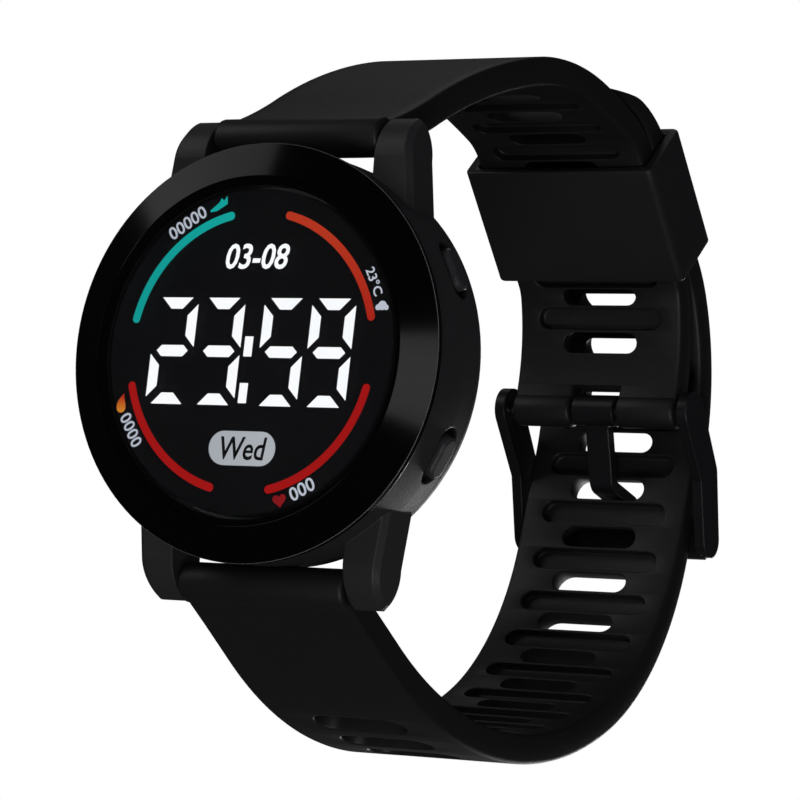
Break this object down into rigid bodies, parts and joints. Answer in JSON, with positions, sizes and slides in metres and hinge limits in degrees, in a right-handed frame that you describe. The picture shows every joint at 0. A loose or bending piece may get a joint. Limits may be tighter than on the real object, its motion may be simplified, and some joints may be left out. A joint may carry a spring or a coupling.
{
  "type": "digital watch",
  "caption": "Round black digital watch with an LED face behind smoked glass, two side push buttons and a buckled black slotted silicone strap",
  "frame": {"origin": "centre of the flat outer face of the case back", "axes": "+Z to 12 o'clock, -Y out of the face, +X to the push buttons (3 o'clock); the strap loop closes on +Y"},
  "size_m": [0.0402, 0.0849, 0.0732],
  "materials": {
    "case_plastic": "matte black moulded case",
    "bezel_gloss": "gloss black bezel",
    "smoked_glass": "smoked mineral glass",
    "silicone": "matte black silicone rubber",
    "black_seal": "black rubber seal",
    "frame_plastic": "black light frame",
    "white_guide": "white lit diffuser",
    "red_guide": "red lit diffuser",
    "teal_guide": "teal lit diffuser",
    "grey_guide": "grey lit diffuser",
    "board": "green solder mask",
    "chip": "black epoxy",
    "holder_plastic": "natural moulded plastic",
    "steel": "brushed stainless steel",
    "black_steel": "black coated steel",
    "button_plastic": "dark grey satin button"
  },
  "bodies": {
    "watch": {"case_middle": "case_plastic", "bezel_ring": "bezel_gloss", "display_glass": "smoked_glass", "glass_gasket": "black_seal", "segment_frame": "frame_plastic", "time_segments": "white_guide", "gauge_arcs_red": "red_guide", "gauge_arc_teal": "teal_guide", "day_pill_light": "grey_guide", "main_board": "board", "segment_leds": "white_guide", "controller_chip": "chip", "quartz_crystal": "steel", "module_holder": "holder_plastic", "coin_cell": "steel", "battery_clip": "steel", "case_back": "steel", "back_gasket": "black_seal", "case_back_screws": "steel", "upper_strap": "silicone", "lower_strap": "silicone", "upper_button_seal": "black_seal", "lower_button_seal": "black_seal", "upper_switch_body": "chip", "lower_switch_body": "chip", "top_bar_tube": "steel", "bottom_bar_tube": "steel", "buckle_bar_tube": "steel"},
    "upper_push": {"upper_button": "button_plastic", "upper_button_clip": "steel"},
    "lower_push": {"lower_button": "button_plastic", "lower_button_clip": "steel"},
    "upper_contact": {"upper_switch_plunger": "holder_plastic"},
    "lower_contact": {"lower_switch_plunger": "holder_plastic"},
    "keeper": {"strap_keeper": "silicone"},
    "buckle": {"buckle_frame": "black_steel"},
    "tongue": {"buckle_tongue": "black_steel"},
    "top_tip_left": {"top_bar_tip_left": "steel"},
    "top_tip_right": {"top_bar_tip_right": "steel"},
    "bottom_tip_left": {"bottom_bar_tip_left": "steel"},
    "bottom_tip_right": {"bottom_bar_tip_right": "steel"},
    "buckle_tip_left": {"buckle_bar_tip_left": "steel"},
    "buckle_tip_right": {"buckle_bar_tip_right": "steel"}
  },
  "joints": [
    {"name": "upper_button_press", "type": "slide", "parent": "watch", "child": "upper_push", "axis": [0.8957, 0, 0.4446], "range_m": [-0.0005, 0], "stiffness_N_per_m": 600},
    {"name": "upper_contact_press", "type": "slide", "parent": "watch", "child": "upper_contact", "axis": [0.8957, 0, 0.4446], "range_m": [-0.0005, 0]},
    {"name": "lower_button_press", "type": "slide", "parent": "watch", "child": "lower_push", "axis": [0.8957, 0, -0.4446], "range_m": [-0.0005, 0], "stiffness_N_per_m": 600},
    {"name": "lower_contact_press", "type": "slide", "parent": "watch", "child": "lower_contact", "axis": [0.8957, 0, -0.4446], "range_m": [-0.0005, 0]},
    {"name": "top_bar_left_release", "type": "slide", "parent": "watch", "child": "top_tip_left", "axis": [1, 0, 0], "range_m": [0, 0.0009], "stiffness_N_per_m": 300},
    {"name": "top_bar_right_release", "type": "slide", "parent": "watch", "child": "top_tip_right", "axis": [-1, 0, 0], "range_m": [0, 0.0009], "stiffness_N_per_m": 300},
    {"name": "bottom_bar_left_release", "type": "slide", "parent": "watch", "child": "bottom_tip_left", "axis": [1, 0, 0], "range_m": [0, 0.0009], "stiffness_N_per_m": 300},
    {"name": "bottom_bar_right_release", "type": "slide", "parent": "watch", "child": "bottom_tip_right", "axis": [-1, 0, 0], "range_m": [0, 0.0009], "stiffness_N_per_m": 300},
    {"name": "buckle_bar_left_release", "type": "slide", "parent": "watch", "child": "buckle_tip_left", "axis": [1, 0, 0], "range_m": [0, 0.0009], "stiffness_N_per_m": 300},
    {"name": "buckle_bar_right_release", "type": "slide", "parent": "watch", "child": "buckle_tip_right", "axis": [-1, 0, 0], "range_m": [0, 0.0009], "stiffness_N_per_m": 300},
    {"name": "keeper_slide", "type": "slide", "parent": "watch", "child": "keeper", "axis": [0, 0.682, -0.7314], "range_m": [0, 0.0014]},
    {"name": "buckle_hinge", "type": "hinge", "parent": "watch", "child": "buckle", "pos_m": [0, 0.0634, 0.00318], "axis": [1, 0, 0], "range_deg": [-1, 0.5]},
    {"name": "tongue_hinge", "type": "hinge", "parent": "watch", "child": "tongue", "pos_m": [0, 0.0634, 0.00318], "axis": [1, 0, 0], "range_deg": [-0.5, 1.5]}
  ],
  "couplings": [
    {"joint": "upper_contact_press", "follows": "upper_button_press", "ratio": 1},
    {"joint": "lower_contact_press", "follows": "lower_button_press", "ratio": 1}
  ]
}
